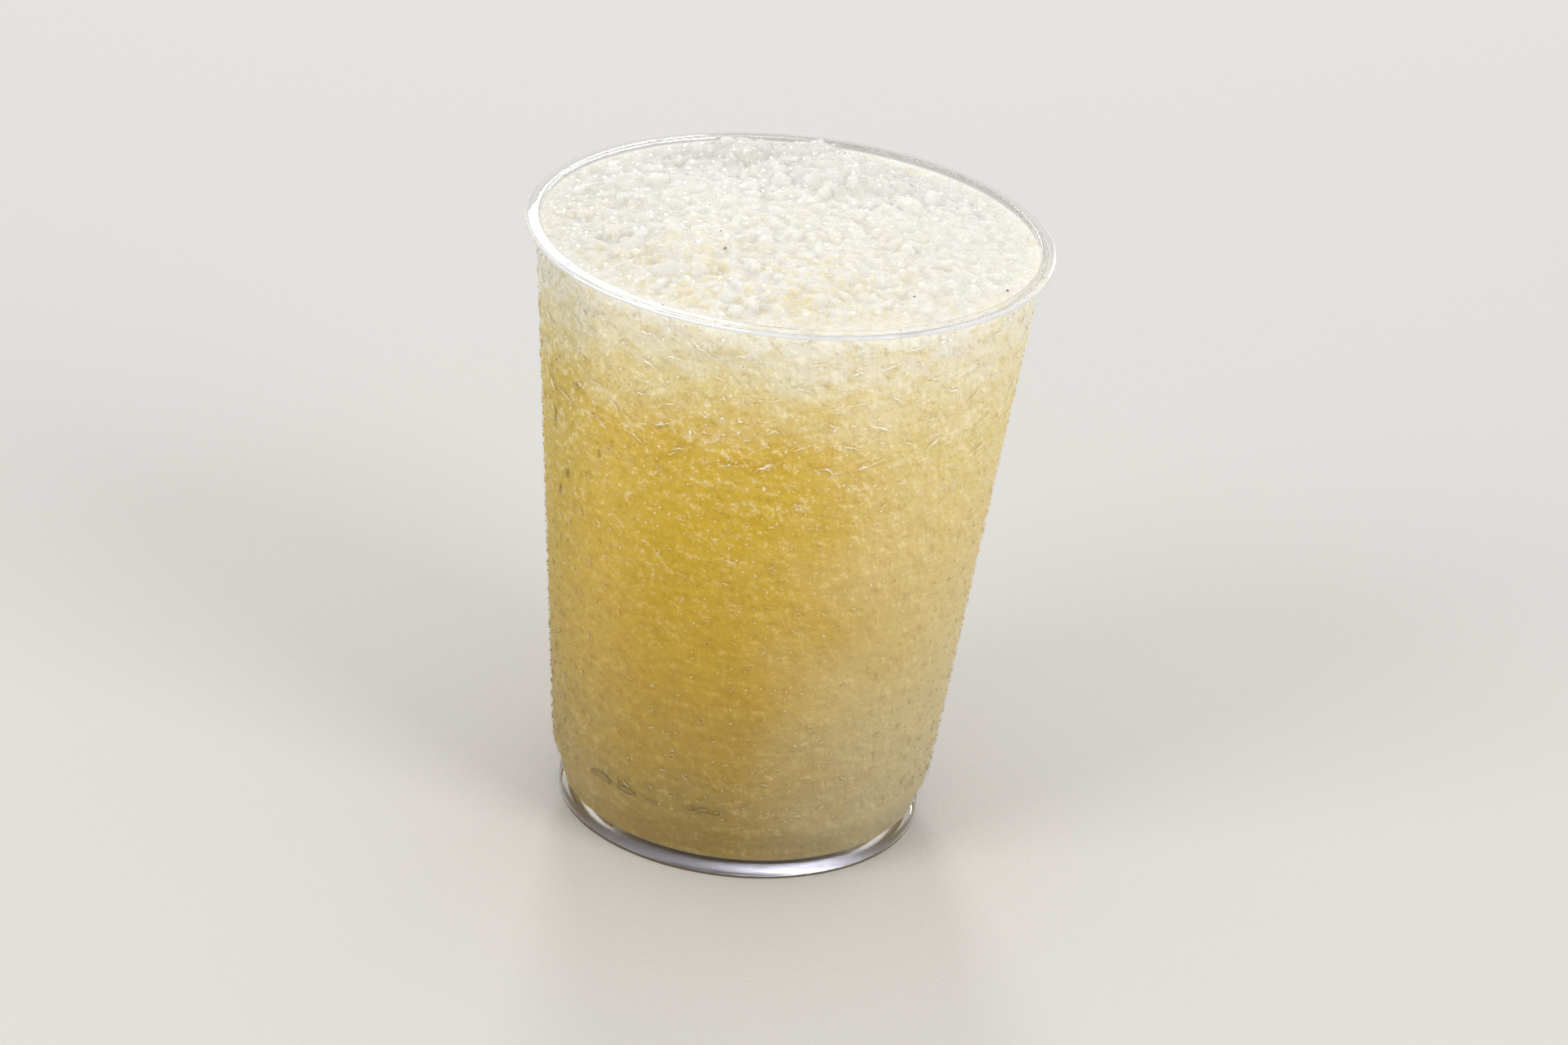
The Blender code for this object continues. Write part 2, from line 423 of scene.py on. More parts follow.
def plastic_finish():
    """Clear plastic with a faint haze, greyed by painted shade in the lip and foot, with a painted dark line
    along the lip's inner edge and a painted highlight along its outer edge.
    """
    finish = Finish("clear_plastic")
    place = finish.place()
    z = finish.axis(place, "Z")
    reach = finish.reach()
    # The lip and the foot are greyed by painted shade.
    in_lip = finish.band(z, LIP_BOTTOM - LIP_ZONE_FADE, LIP_BOTTOM)
    in_foot = finish.band(z, FLOOR_TOP, FLOOR_BOTTOM)
    # A painted dark line runs along the lip's inner edge.
    line_outside = bore_radius(CUP_HEIGHT) + LIP_LINE_WIDTH
    in_line = finish.band(reach, line_outside, line_outside - LIP_LINE_WIDTH / 2) * in_lip
    tint_and_painted_shade = finish.blend(in_lip, finish.blend(in_foot, PLASTIC_TINT, FOOT_PAINTED_SHADE), LIP_PAINTED_SHADE)
    tint_and_painted_shade = finish.blend(in_line, tint_and_painted_shade, LIP_LINE_PAINTED_SHADE)
    haze = finish.band(finish.cloud(place, 420.0, 4.0, 0.6), 0.45, 0.75)
    ripple = finish.cloud(place, 160.0, 2.0)
    clear = finish.surface({
        "Base Color": tint_and_painted_shade,
        "Roughness": PLASTIC_ROUGHNESS + haze * HAZE_ROUGHNESS + in_foot * FOOT_ROUGHNESS,
        "IOR": PLASTIC_INDEX, "Transmission Weight": 1.0, "Normal": finish.bump(ripple, RIPPLE_HEIGHT)})
    straight = finish.add("ShaderNodeBsdfTransparent")
    clear = finish.overlaid((1 - in_lip) * (1 - in_foot) * WALL_STRAIGHT, clear, straight)
    # A pale layer along the lip's outer edge is a painted highlight.
    painted_highlight = finish.band(reach, LIP_RADIUS - LIP_HIGHLIGHT_WIDTH, LIP_RADIUS - LIP_HIGHLIGHT_WIDTH * 0.4) * in_lip
    painted_highlight = painted_highlight * (finish.band(finish.cloud(place, 90.0, 3.0, 0.6), 0.40, 0.60) * 0.5 + 0.20)
    pale = finish.surface({"Base Color": LIP_HIGHLIGHT_COLOUR, "Roughness": LIP_HIGHLIGHT_ROUGHNESS})
    return finish.close(lets_light_through(finish, finish.overlaid(painted_highlight, clear, pale)))


tumbler = as_object("tumbler", turned(tumbler_section(), CUP_SEGMENTS), plastic_finish())
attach(tumbler, "root")
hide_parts("cup")


# The slush: crushed ice and syrup that fills the tumbler to its lip, with a low icy dome. It is
# one closed body whose sides reach just into the wall. Its top carries the lumps, the larger
# bits of ice frozen into it and the grain of the ice as relief.
SLUSH_BITE = 0.00058
FLOOR_BITE = 0.0004
SLUSH_FOOT_INSET = 0.0006
SLUSH_FOOT_RISE = 0.0009
SLUSH_COLUMNS = 372
SIDE_STEP = 0.00058
TOP_STEP = 0.00042
TOP_CLEARANCE = 0.0002
SAME_PLACE = 0.0000001
SLUSH_EDGE_DROP = 0.0010
DOME_RISE = 0.0022
SWELL_SIZE, SWELL_HEIGHT = 0.013, 0.0008
GRAIN_SIZE, GRAIN_HEIGHT = 0.0034, 0.00085
CRUMB_SIZE, CRUMB_HEIGHT = 0.0017, 0.00045
FROST_SIZE, FROST_HEIGHT, FROST_LEVEL = 0.0011, 0.00025, 0.4
EDGE_CALM_WIDTH = 0.0045
FROST_CALM_WIDTH = 0.0008
EDGE_HEIGHT = CUP_HEIGHT - SLUSH_EDGE_DROP
EDGE_RADIUS = bore_radius(EDGE_HEIGHT)

# Ice at the wall: ledges wider than they are tall, grains between them and a fine roughness, with
# the share that each has in the relief.
SIDE_RELIEF = 0.00040
LEDGE_SIZE, LEDGE_SQUASH, LEDGE_SHARPNESS, LEDGE_SHARE = 0.0046, 2.3, 2.6, 0.45
SIDE_GRAIN_SIZE, SIDE_GRAIN_SHARE = 0.0019, 0.35
SIDE_FINE_SIZE, SIDE_FINE_SHARE = 0.0008, 0.20

# Lumps of the top: x, y, radius and rise.
LUMPS = (
    (-0.0133, -0.0125, 0.0062, 0.0016),
    (0.0074, 0.0206, 0.0070, 0.0018),
    (-0.0078, 0.0290, 0.0045, 0.0016),
    (0.0018, 0.0300, 0.0048, 0.0018),
    (0.0190, 0.0030, 0.0080, 0.0009),
    (-0.0210, 0.0090, 0.0065, 0.0009),
)

# Chips frozen into the top, their widths and thicknesses as parts of their lengths.
CHIP_COUNT = 88
CHIP_LENGTHS = (0.0020, 0.0044)
CHIP_WIDTHS = (0.55, 0.85)
CHIP_THICKNESSES = (0.28, 0.45)
CHIP_TILT = 28
CHIP_NUDGE = 0.10
CHIP_RISE = 0.05
CHIP_REACH = 0.0315
CHIP_CORNER_SPREAD = (0.72, 1.22)
CHIP_SEED = 41
WELL_ABOVE = 0.02


def lump_height(x, y):
    """Height that the lumps add at a point of the top."""
    height = 0.0
    for lump_x, lump_y, radius, rise in LUMPS:
        away = ((x - lump_x) ** 2 + (y - lump_y) ** 2) / radius ** 2
        height += rise * exp(-away * away)
    return height


def cell_height(point):
    """0 on the edges between ice grains, 1 in their middles."""
    near = noise.voronoi(point)[0]
    return min(1.0, near[1] - near[0])


def calm(x, y, width):
    """0 at the wall, 1 from a width inside it."""
    return min(1.0, max(0.0, EDGE_RADIUS - hypot(x, y)) / width)


def bare_top(x, y):
    """Height of the top without its chips and frost. Each noise has its own slice in z."""
    dome = DOME_RISE * (1 - (hypot(x, y) / EDGE_RADIUS) ** 2)
    swell = SWELL_HEIGHT * noise.noise(Vector((x, y, 0.3)) / SWELL_SIZE)
    grain = GRAIN_HEIGHT * cell_height(Vector((x, y, 0.1)) / GRAIN_SIZE)
    crumb = CRUMB_HEIGHT * noise.noise(Vector((x, y, 0.7)) / CRUMB_SIZE)
    return EDGE_HEIGHT + dome + calm(x, y, EDGE_CALM_WIDTH) * (swell + grain + crumb + lump_height(x, y))


def ice_chips():
    """The larger bits of broken ice, on a sunflower spiral, each nudged and turned at random."""
    draw = Random(CHIP_SEED)
    golden_angle = pi * (3 - sqrt(5))
    mesh = bmesh.new()
    for k in range(CHIP_COUNT):
        radius = CHIP_REACH * sqrt((k + 0.5) / CHIP_COUNT)
        angle = k * golden_angle + draw.uniform(-CHIP_NUDGE, CHIP_NUDGE)
        x = radius * cos(angle)
        y = radius * sin(angle)
        length = draw.uniform(*CHIP_LENGTHS)
        width = length * draw.uniform(*CHIP_WIDTHS)
        thickness = length * draw.uniform(*CHIP_THICKNESSES)
        tilts = [radians(draw.uniform(-CHIP_TILT, CHIP_TILT)) for _ in "xy"]
        turn = Euler((*tilts, draw.uniform(0, tau)))
        centre = Vector((x, y, bare_top(x, y) + CHIP_RISE * thickness))
        pose = Matrix.LocRotScale(centre, turn, Vector((length, width, thickness)) / 2)
        corners = bmesh.ops.create_icosphere(mesh, subdivisions=1, radius=1.0)["verts"]
        for corner in corners:
            corner.co *= draw.uniform(*CHIP_CORNER_SPREAD)
        bmesh.ops.transform(mesh, matrix=pose, verts=corners)
    return mesh


chips = ice_chips()
chip_tree = BVHTree.FromBMesh(chips)
chips.free()


def top_height(x, y):
    """Height of the finished top: the bare top or a chip, whichever is higher, with frost on it."""
    above = Vector((x, y, CUP_HEIGHT + WELL_ABOVE))
    hit = chip_tree.ray_cast(above, Vector((0, 0, -1)))[0]
    height = max(bare_top(x, y), hit.z) if hit else bare_top(x, y)
    frost = FROST_HEIGHT * (cell_height(Vector((x, y, 0.2)) / FROST_SIZE) - FROST_LEVEL)
    return height + calm(x, y, FROST_CALM_WIDTH) * frost


def side_radius(angle, z):
    """Radius of the slush at the wall: flaky ice pressed flat against the plastic."""
    radius = bore_radius(z)
    around = Vector((radius * cos(angle), radius * sin(angle), z))
    squashed = Vector((around.x, around.y, around.z * LEDGE_SQUASH))
    ledge = 1 - abs(noise.noise(squashed / LEDGE_SIZE)) * LEDGE_SHARPNESS
    grain = cell_height(around / SIDE_GRAIN_SIZE)
    fine = noise.noise(around / SIDE_FINE_SIZE) * 0.5 + 0.5
    relief = LEDGE_SHARE * max(0.0, ledge) + SIDE_GRAIN_SHARE * grain + SIDE_FINE_SHARE * fine
    return radius + SLUSH_BITE - SIDE_RELIEF * (1 - relief)


def triangle_grid(reach):
    """Evenly spaced points in a circle, in rows of equal triangles."""
    row_step = TOP_STEP * sqrt(3) / 2
    rows = int(EDGE_RADIUS / row_step) + 1
    inside = []
    for row in range(-rows, rows + 1):
        shift = TOP_STEP / 2 if row % 2 else 0.0
        for column in range(-rows, rows + 1):
            point = Vector((column * TOP_STEP + shift, row * row_step))
            if point.length < reach:
                inside.append(point)
    return inside


def slush_mesh():
    """The slush's closed mesh: a bottom fan, side rings and a triangle grid for the top."""
    mesh = bmesh.new()
    angles = [tau * k / SLUSH_COLUMNS for k in range(SLUSH_COLUMNS)]
    low = FLOOR_TOP - FLOOR_BITE
    foot = bore_radius(low) - SLUSH_FOOT_INSET
    rings = [[mesh.verts.new((foot * cos(a), foot * sin(a), low)) for a in angles]]
    for z in heights(low + SLUSH_FOOT_RISE, EDGE_HEIGHT, int((EDGE_HEIGHT - low) / SIDE_STEP)):
        ring = []
        for a in angles:
            r = side_radius(a, z)
            ring.append(mesh.verts.new((r * cos(a), r * sin(a), z)))
        rings.append(ring)
    border = [(k, (k + 1) % SLUSH_COLUMNS) for k in range(SLUSH_COLUMNS)]
    for lower, upper in zip(rings, rings[1:]):
        for k, n in border:
            mesh.faces.new((lower[k], lower[n], upper[n], upper[k]))
    middle = mesh.verts.new((0.0, 0.0, low))
    for k, n in border:
        mesh.faces.new((middle, rings[0][n], rings[0][k]))
    edge = [corner.co.to_2d() for corner in rings[-1]]
    inside = triangle_grid(EDGE_RADIUS - TOP_CLEARANCE)
    points, _, triangles, *_ = geometry.delaunay_2d_cdt(edge + inside, border, [], 1, SAME_PLACE)
    corners = list(rings[-1])
    for point in points[SLUSH_COLUMNS:]:
        corners.append(mesh.verts.new((point.x, point.y, top_height(point.x, point.y))))
    for triangle in triangles:
        mesh.faces.new([corners[k] for k in triangle])
    bmesh.ops.recalc_face_normals(mesh, faces=mesh.faces)
    return mesh


# Colour by height, as parts of the tumbler's height: syrup shows most halfway up, ice whitens the
# top, and the darkening towards the foot is painted shade. The right-hand side is creamier than the left.
YELLOW_SIDE = (
    (0.00, (0.28, 0.195, 0.065, 1)), (0.12, (0.34, 0.243, 0.082, 1)), (0.35, (0.485, 0.323, 0.056, 1)),
    (0.60, (0.585, 0.395, 0.040, 1)), (0.78, (0.65, 0.455, 0.075, 1)), (0.88, (0.75, 0.64, 0.34, 1)),
    (0.97, (0.78, 0.75, 0.64, 1)))
CREAM_SIDE = (
    (0.00, (0.34, 0.28, 0.17, 1)), (0.12, (0.455, 0.37, 0.21, 1)), (0.35, (0.585, 0.465, 0.228, 1)),
    (0.60, (0.69, 0.53, 0.22, 1)), (0.78, (0.75, 0.61, 0.27, 1)), (0.88, (0.82, 0.72, 0.47, 1)),
    (0.97, (0.83, 0.80, 0.69, 1)))
# Painted shade for the wall's far left.
LEFT_SHADE = (0.83, 0.845, 0.88, 1.0)
# Painted shade and painted highlights on the edges of the wall's relief: the shade colour darkens far edges,
# the gleam and the frost white lighten lit ones.
SHADE = (0.66, 0.59, 0.43, 1.0)
GLEAM = (0.075, 0.070, 0.035, 1.0)
SYRUP_SEAM = (0.92, 0.82, 0.50, 1.0)
FROST_AND_HIGHLIGHT_WHITE = (0.93, 0.91, 0.83, 1.0)
ICE_TOP = (0.72, 0.71, 0.675, 1.0)
SYRUP_TOP = (0.70, 0.620, 0.405, 1.0)
# Painted shade for the top's back and left.
BACK_SHADE = (0.84, 0.85, 0.88, 1.0)
ICE_INDEX = 1.31
DULL_SHINE = 0.1
ICE_RELIEF = 0.00022
TOP_BEGINS, TOP_FULL = CUP_HEIGHT - 0.0016, CUP_HEIGHT - 0.0002
GLOW_SHARE = 0.9
GLOW_REACH = 0.0045
GLOW_COLOURS = (1.0, 1.0, 1.0)

# Flakes and clumps in the ice: the scale of their noise and the shift that sets where their painted light
# and painted shade fall.
FLAKE_NOISE, FLAKE_SHIFT = 900.0, (0.00016, 0.00016, 0.00032)
CLUMP_NOISE, CLUMP_SHIFT = 360.0, (0.00030, 0.00030, 0.00060)

# Sheets of ice at the wall: their pitch in height, how far they wander, the scale of that noise
# and their strength. A sheet's pale face and crest, partly white ice and partly painted light, and its
# underside in painted shade, are parts of its pitch.
SHEETS = ((0.0090, 1.9, 120.0, 1.0), (0.0043, 1.7, 240.0, 0.7))
SHEET_PARTS = ((0.30, 0.0), (0.05, 0.01), (0.88, 1.0))


def sheets(finish, place, pitch, wander, scale):
    """Flat sheets of ice one above another at the wall: (pale, crest, shade) masks of each one's edge, for
    painted light above it and painted shade below.
    """
    wave = finish.cloud(place, scale, 6.0, 0.70)
    rise = (finish.axis(place, "Z") * (1 / pitch) + (wave - 0.5) * wander).fraction()
    shown = finish.band(finish.cloud(place, scale * 2.5, 2.0), 0.48, 0.58)
    return [shown * finish.band(rise, low, high) for low, high in SHEET_PARTS]


def relief_edge(finish, place, scale, shift):
    """Above 0 on the lit edges of a noise relief and below 0 on the far ones."""
    beside = finish.vector("SUBTRACT", place, shift)
    return finish.cloud(place, scale, 5.0, 0.66) - finish.cloud(beside, scale, 5.0, 0.66)


def side_colour(finish, place):
    """The slush's colour at the wall, without its frost, darkened by painted shade on the far left."""
    wisps = finish.cloud(finish.stretched(place, (1.0, 1.0, 2.2)), 95.0, 4.0, 0.6)
    level = finish.axis(place, "Z") * (1 / CUP_HEIGHT) + (wisps - 0.5) * 0.16
    drift = (finish.cloud(place, 40.0, 2.0) - 0.5) * 0.8
    across = finish.axis(place, "X") * (1 / LIP_RADIUS)
    creamy = finish.band(across + drift, -0.05, 0.65) + finish.band(across, -0.35, -0.60) * 0.16
    side = finish.blend(creamy, finish.ramp(level, YELLOW_SIDE), finish.ramp(level, CREAM_SIDE))
    # Painted shade darkens the far left of the wall.
    return finish.blend(finish.band(across, -0.58, -0.82), side, LEFT_SHADE, "MULTIPLY")


def ice_colour(finish, place):
    """Pale ice on the top, with syrup between the grains, most of it towards the front, dimmed by painted
    shade towards the back and the left.
    """
    x = finish.axis(place, "X")
    y = finish.axis(place, "Y")
    front = finish.band(y, 0.016, -0.030) * 0.80 + 0.20
    front = front * (1 - finish.band(x, 0.002, 0.028) * 0.45)
    pools = finish.band(finish.cloud(place, 230.0, 3.0, 0.6), 0.42, 0.66) * 0.6
    seams = finish.band(finish.cloud(place, 1100.0, 3.0, 0.6), 0.50, 0.62) * 0.7
    ice = finish.blend((pools + seams).kept_under(1.0) * front, ICE_TOP, SYRUP_TOP)
    # Painted shade dims the top towards the back and the left.
    dim = finish.band(y, 0.004, 0.034) + finish.band(x, -0.010, -0.032) * 0.45
    return finish.blend(dim.kept_under(1.0), ice, BACK_SHADE, "MULTIPLY")


def slush_finish():
    """Syrup yellow at the wall with painted light and painted shade on the edges of its flakes and sheets of
    ice, and pale wet ice on the top.
    """
    finish = Finish("slush")
    place = finish.place()
    z = finish.axis(place, "Z")
    # Painted light and painted shade: the lit and far edges of a noise relief, as if lit from above, are
    # painted lighter and darker.
    edge = (relief_edge(finish, place, FLAKE_NOISE, FLAKE_SHIFT)
            + relief_edge(finish, place, CLUMP_NOISE, CLUMP_SHIFT))
    light = finish.band(edge, 0.03, 0.26)
    dark = finish.band(edge, -0.03, -0.26)
    torn = finish.band(z, CUP_HEIGHT * 0.50, CUP_HEIGHT * 0.82)
    # Each sheet paints a pale face and crest, partly white ice and partly painted light, and painted shade
    # under its edge.
    for pitch, wander, scale, strength in SHEETS:
        pale, crest, shade = [layer * torn for layer in sheets(finish, place, pitch, wander, scale)]
        light = (light + pale * 0.40 * strength + crest * 0.35 * strength).kept_under(1.0)
        dark = (dark + shade * 0.7 * strength).kept_under(1.0)
    # The painted shade darkens and the painted light brightens and whitens the wall, both more strongly
    # higher up.
    painted_relief_strength = finish.band(z, CUP_HEIGHT * 0.35, CUP_HEIGHT * 0.95)
    side = finish.blend(dark * (painted_relief_strength * 0.20 + 0.32), side_colour(finish, place), SHADE, "MULTIPLY")
    side = finish.blend(light, side, GLEAM, "ADD")
    side = finish.blend(light * (painted_relief_strength * 0.42 + 0.02), side, FROST_AND_HIGHLIGHT_WHITE)
    clumps = finish.cloud(finish.stretched(place, (1.0, 1.0, 1.5)), 330.0, 4.0, 0.6)
    syrupy = finish.band(clumps, 0.50, 0.62) * finish.band(z, CUP_HEIGHT * 0.70, CUP_HEIGHT * 0.90)
    side = finish.blend(syrupy * 0.45, side, SYRUP_SEAM, "MULTIPLY")
    on_top = finish.band(z, TOP_BEGINS, TOP_FULL)
    rough = finish.cloud(place, 1500.0, 3.0, 0.6)
    relief = (finish.cloud(place, FLAKE_NOISE, 5.0, 0.66) + rough * 0.5) * (1 - on_top * 0.7)
    return finish.close(finish.surface({
        "Base Color": finish.blend(on_top, side, ice_colour(finish, place)),
        "Roughness": 0.40 + rough * 0.2, "Normal": finish.bump(relief, ICE_RELIEF),
        "IOR": ICE_INDEX, "Specular IOR Level": DULL_SHINE,
        "Subsurface Weight": GLOW_SHARE, "Subsurface Scale": GLOW_REACH,
        "Subsurface Radius": GLOW_COLOURS}))


slush = as_object("slush_body", slush_mesh(), slush_finish())
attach(slush, "root")
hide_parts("slush")


# Loose ice on the top: crushed grains under a millimetre, half frozen in, with flatter broken
# shards and thin level flakes among them. They are wet and clear, so their flat faces catch the
# lamps. A squash is a piece's width, depth and height as parts of its size, least and most.
GRAIN_SIZES = (0.00042, 0.00095)
GRAIN_GAP = 0.00052
GRAIN_SQUASH = ((0.65, 0.55, 0.35), (1.0, 0.9, 0.525))
GRAIN_TILT = 0.5
GRAIN_SEED = 7
SHARD_SIZES = (0.0009, 0.0021)
SHARD_GAP = 0.00125
SHARD_SQUASH = ((0.65, 0.55, 0.18), (1.0, 0.9, 0.27))
SHARD_TILT = 0.45
SHARD_SEED = 19
LOOSE_DEPTH = 0.0013
LOOSE_REACH = EDGE_RADIUS - 0.0004
FLAKE_SIZES = (0.0005, 0.0011)
FLAKE_GAP = 0.0015
FLAKE_SQUASH = ((0.8, 0.7, 0.45), (1.0, 0.9, 0.60))
FLAKE_TILT = radians(4.5)
FLAKE_SEED = 31
FLAKE_DEPTH = 0.0009
FLAKE_SHARE = 0.45
FLAKE_SHARE_SLOPE = 12
DENSEST = 9000000.0
ICE_PALE = (0.92, 0.915, 0.88, 1.0)
ICE_PALENESS = 0.45
WET_RELIEF = 0.00002
ICE_SHADE = (0.99, 0.99, 0.985, 1.0)


class Growth(Web):
    """A Geometry Nodes tree with named inputs. grow() runs it and leaves a plain mesh."""

    def __init__(self, name, gap, sizes, seed, others=None):
        super().__init__(bpy.data.node_groups.new(name, "GeometryNodeTree"))
        self.name = name
        self.values = {"Gap": gap, "Smallest": sizes[0], "Largest": sizes[1], "Seed": seed}
        self.values.update(others or {})
        sockets = self.tree.interface
        sockets.new_socket("Surface", in_out="INPUT", socket_type="NodeSocketGeometry")
        sockets.new_socket("Surface", in_out="OUTPUT", socket_type="NodeSocketGeometry")
        self.keys = {}
        for label, value in self.values.items():
            kind = "NodeSocketInt" if isinstance(value, int) else "NodeSocketFloat"
            self.keys[label] = sockets.new_socket(label, in_out="INPUT", socket_type=kind).identifier
        self.group_input = self.tree.nodes.new("NodeGroupInput")

    def given(self, label):
        return Wire(self, self.group_input.outputs[label])

    def place(self):
        return self.add("GeometryNodeInputPosition")

    def above(self, height):
        return self.axis(self.place(), "Z") > height

    def random(self, low, high, step):
        """A random number or vector for each point. Each use in a tree has its own step."""
        kind, first, output = ("FLOAT", 2, 1)
        if isinstance(low, tuple):
            kind, first, output = ("FLOAT_VECTOR", 0, 0)
        inputs = {first: low, first + 1: high, "Seed": self.given("Seed") + step}
        return self.add("FunctionNodeRandomValue", {"data_type": kind}, inputs, output)

    def size(self):
        return self.random(self.given("Smallest"), self.given("Largest"), 1)

    def combined(self, x, y, z):
        return self.add("ShaderNodeCombineXYZ", None, {0: x, 1: y, 2: z})

    def turn(self, angles):
        return self.add("FunctionNodeEulerToRotation", None, {0: angles})

    def ball(self, subdivisions):
        return self.add("GeometryNodeMeshIcoSphere", None, {"Radius": 1.0, "Subdivisions": subdivisions})

    def strewn(self, where):
        """Points no nearer to each other than the gap, where the surface allows them."""
        inputs = {"Mesh": self.given("Surface"), "Selection": where, "Distance Min": self.given("Gap"),
                  "Density Max": DENSEST, "Seed": self.given("Seed")}
        return self.add("GeometryNodeDistributePointsOnFaces", {"distribute_method": "POISSON"}, inputs)

    def copies(self, points, shape, rotation, scale):
        inputs = {"Points": points, "Instance": shape, "Rotation": rotation, "Scale": scale}
        return self.realized(self.add("GeometryNodeInstanceOnPoints", None, inputs))

    def realized(self, shape):
        return self.add("GeometryNodeRealizeInstances", None, {0: shape})

    def roughened(self, shape, size, amount):
        """A shape with its corners pushed about by noise."""
        push = self.cloud(self.place(), 1.0 / size, 1.0, output=1)
        push = self.scaled(self.vector("SUBTRACT", push, (0.5, 0.5, 0.5)), amount)
        return self.add("GeometryNodeSetPosition", None, {"Geometry": shape, "Offset": push})

    def grow(self, shape, finish, surface):
        """Closes the tree on a shape and a material, and runs it on a surface."""
        shape = self.realized(shape)
        shape = self.add("GeometryNodeSetMaterial", None, {"Geometry": shape, "Material": finish})
        self.add("NodeGroupOutput", None, {0: shape})
        piece = bpy.data.objects.new(self.name, surface.copy())
        scene.collection.objects.link(piece)
        growth = piece.modifiers.new("growth", "NODES")
        growth.node_group = self.tree
        for label, value in self.values.items():
            growth[self.keys[label]] = value
        now = bpy.context.evaluated_depsgraph_get()
        mesh = bpy.data.meshes.new_from_object(piece.evaluated_get(now))
        piece.modifiers.clear()
        piece.data = mesh
        mesh.name = self.name
        return piece


def turned_up(finish, share):
    """The surface's normal turned upwards by a share, as light inside ice evens out its faces."""
    normal = finish.add("ShaderNodeNewGeometry", output="Normal")
    apart = finish.vector("SUBTRACT", (0.0, 0.0, 1.0), normal)
    return finish.vector("NORMALIZE", finish.vector("ADD", normal, finish.scaled(apart, share)))


def loose_ice_finish(name, solidity, roughness, softness, shine):
    finish = Finish(name)
    place = finish.place()
    fine = finish.cloud(place, 2500.0, 2.0)
    ice = finish.surface({
        "Base Color": finish.blend(ICE_PALENESS, ice_colour(finish, place), ICE_PALE), "Alpha": solidity,
        "Normal": finish.bump(fine, WET_RELIEF, turned_up(finish, softness)),
        "Roughness": roughness, "IOR": ICE_INDEX, "Specular IOR Level": shine})
    return finish.close(lets_light_through(finish, ice, ICE_SHADE))


def strewn_flat(growth, where, shape, squash, tilt):
    """Copies of a shape on the top, flat-faced, each with its own size, squash, tilt and turn."""
    scale = growth.scaled(growth.random(*squash, 2), growth.size() * 0.5)
    turn = growth.turn(growth.random((-tilt, -tilt, 0.0), (tilt, tilt, tau), 3))
    shape = growth.add("GeometryNodeSetShadeSmooth", None, {"Geometry": shape, "Shade Smooth": False})
    return growth.copies(growth.strewn(where), shape, turn, scale)


def broken_ice(name, gap, sizes, squash, tilt, seed, finish):
    """Grains or shards of one kind over the slush's top, clear of the wall."""
    growth = Growth(name, gap, sizes, seed)
    clear_of_wall = 1 - (growth.reach() > LOOSE_REACH)
    where = growth.above(CUP_HEIGHT - LOOSE_DEPTH) * clear_of_wall
    ice = strewn_flat(growth, where, growth.ball(1), squash, tilt)
    ice = growth.roughened(ice, sizes[0] * 0.7, sizes[0] * 0.5)
    return growth.grow(ice, finish, slush.data)


def level_flakes(name, finish):
    """Thin six-sided flakes that lie almost level in the wet, most of them towards the back."""
    growth = Growth(name, FLAKE_GAP, FLAKE_SIZES, FLAKE_SEED)
    share = growth.axis(growth.place(), "Y") * FLAKE_SHARE_SLOPE + FLAKE_SHARE
    where = growth.above(CUP_HEIGHT - FLAKE_DEPTH) * (share > growth.random(0.0, 1.0, 4))
    plate = growth.add("GeometryNodeMeshCone", None, {
        "Vertices": 6, "Radius Top": 0.7, "Radius Bottom": 1.0, "Depth": 1.0})
    flakes = strewn_flat(growth, where, plate, FLAKE_SQUASH, FLAKE_TILT)
    return growth.grow(flakes, finish, slush.data)


grain_ice = loose_ice_finish("grain_ice", solidity=0.10, roughness=0.3, softness=0.5, shine=0.5)
shard_ice = loose_ice_finish("shard_ice", solidity=0.15, roughness=0.2, softness=0.5, shine=0.6)
flake_ice = loose_ice_finish("flake_ice", solidity=0.85, roughness=0.06, softness=0.0, shine=1.0)
loose_ice = [
    broken_ice("ice_grains", GRAIN_GAP, GRAIN_SIZES, GRAIN_SQUASH, GRAIN_TILT, GRAIN_SEED, grain_ice),
    broken_ice("ice_shards", SHARD_GAP, SHARD_SIZES, SHARD_SQUASH, SHARD_TILT, SHARD_SEED, shard_ice),
    level_flakes("wet_flakes", flake_ice)]
for piece in loose_ice:
    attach(piece, "root")


# Frost at the wall: where the ice presses on the plastic its broken edges show as thin pale
# ledges, with small white dots between them, lumps under the lip, and rings where air bubbles
# are shut in. All of it lies on a sleeve just inside the wall.
SLEEVE_BITE = 0.00050
SLEEVE_LOW, SLEEVE_HIGH = 0.0104, 0.0885
SLEEVE_RINGS = 24
SLEEVE_SEGMENTS = 96
MARK_SIZES = (0.0004, 0.0015)
MARK_THICKNESS = 0.00013
MARK_GAP = 0.0037
MARK_FOOT = 0.010
MARK_SEED = 5
EDGE_SIZES = (0.0018, 0.0062)
EDGE_THICKNESS = 0.00018
EDGE_GAP = 0.0046
EDGE_FOOT = 0.066
EDGE_SEED = 13
LEDGE_POINTS = 13
LEDGE_TILT = 0.55
LEDGE_BENDS = ((0.0014, 0.0016), (0.0006, 0.0009))
LEDGE_THINNEST = 0.06
LEDGE_ROUGHNESS = 0.35
LUMP_SIZES = (0.0002, 0.0005)
LUMP_GAP = 0.0008
LUMP_FOOT = 0.0860
LUMP_THICKNESS = 0.00012
LUMP_SEED = 37
LUMP_WHITE = (0.97, 0.97, 0.96, 1.0)
LUMP_ROUGHNESS = 0.15
DOT_SIZES = (0.00010, 0.00024)
DOT_GAP = 0.0019
DOT_THICKNESS = 0.00013
DOT_SEED = 11
DOT_ROUGHNESS = 0.20
BUBBLE_SIZES = (0.00016, 0.00048)
BUBBLE_GAP = 0.0072
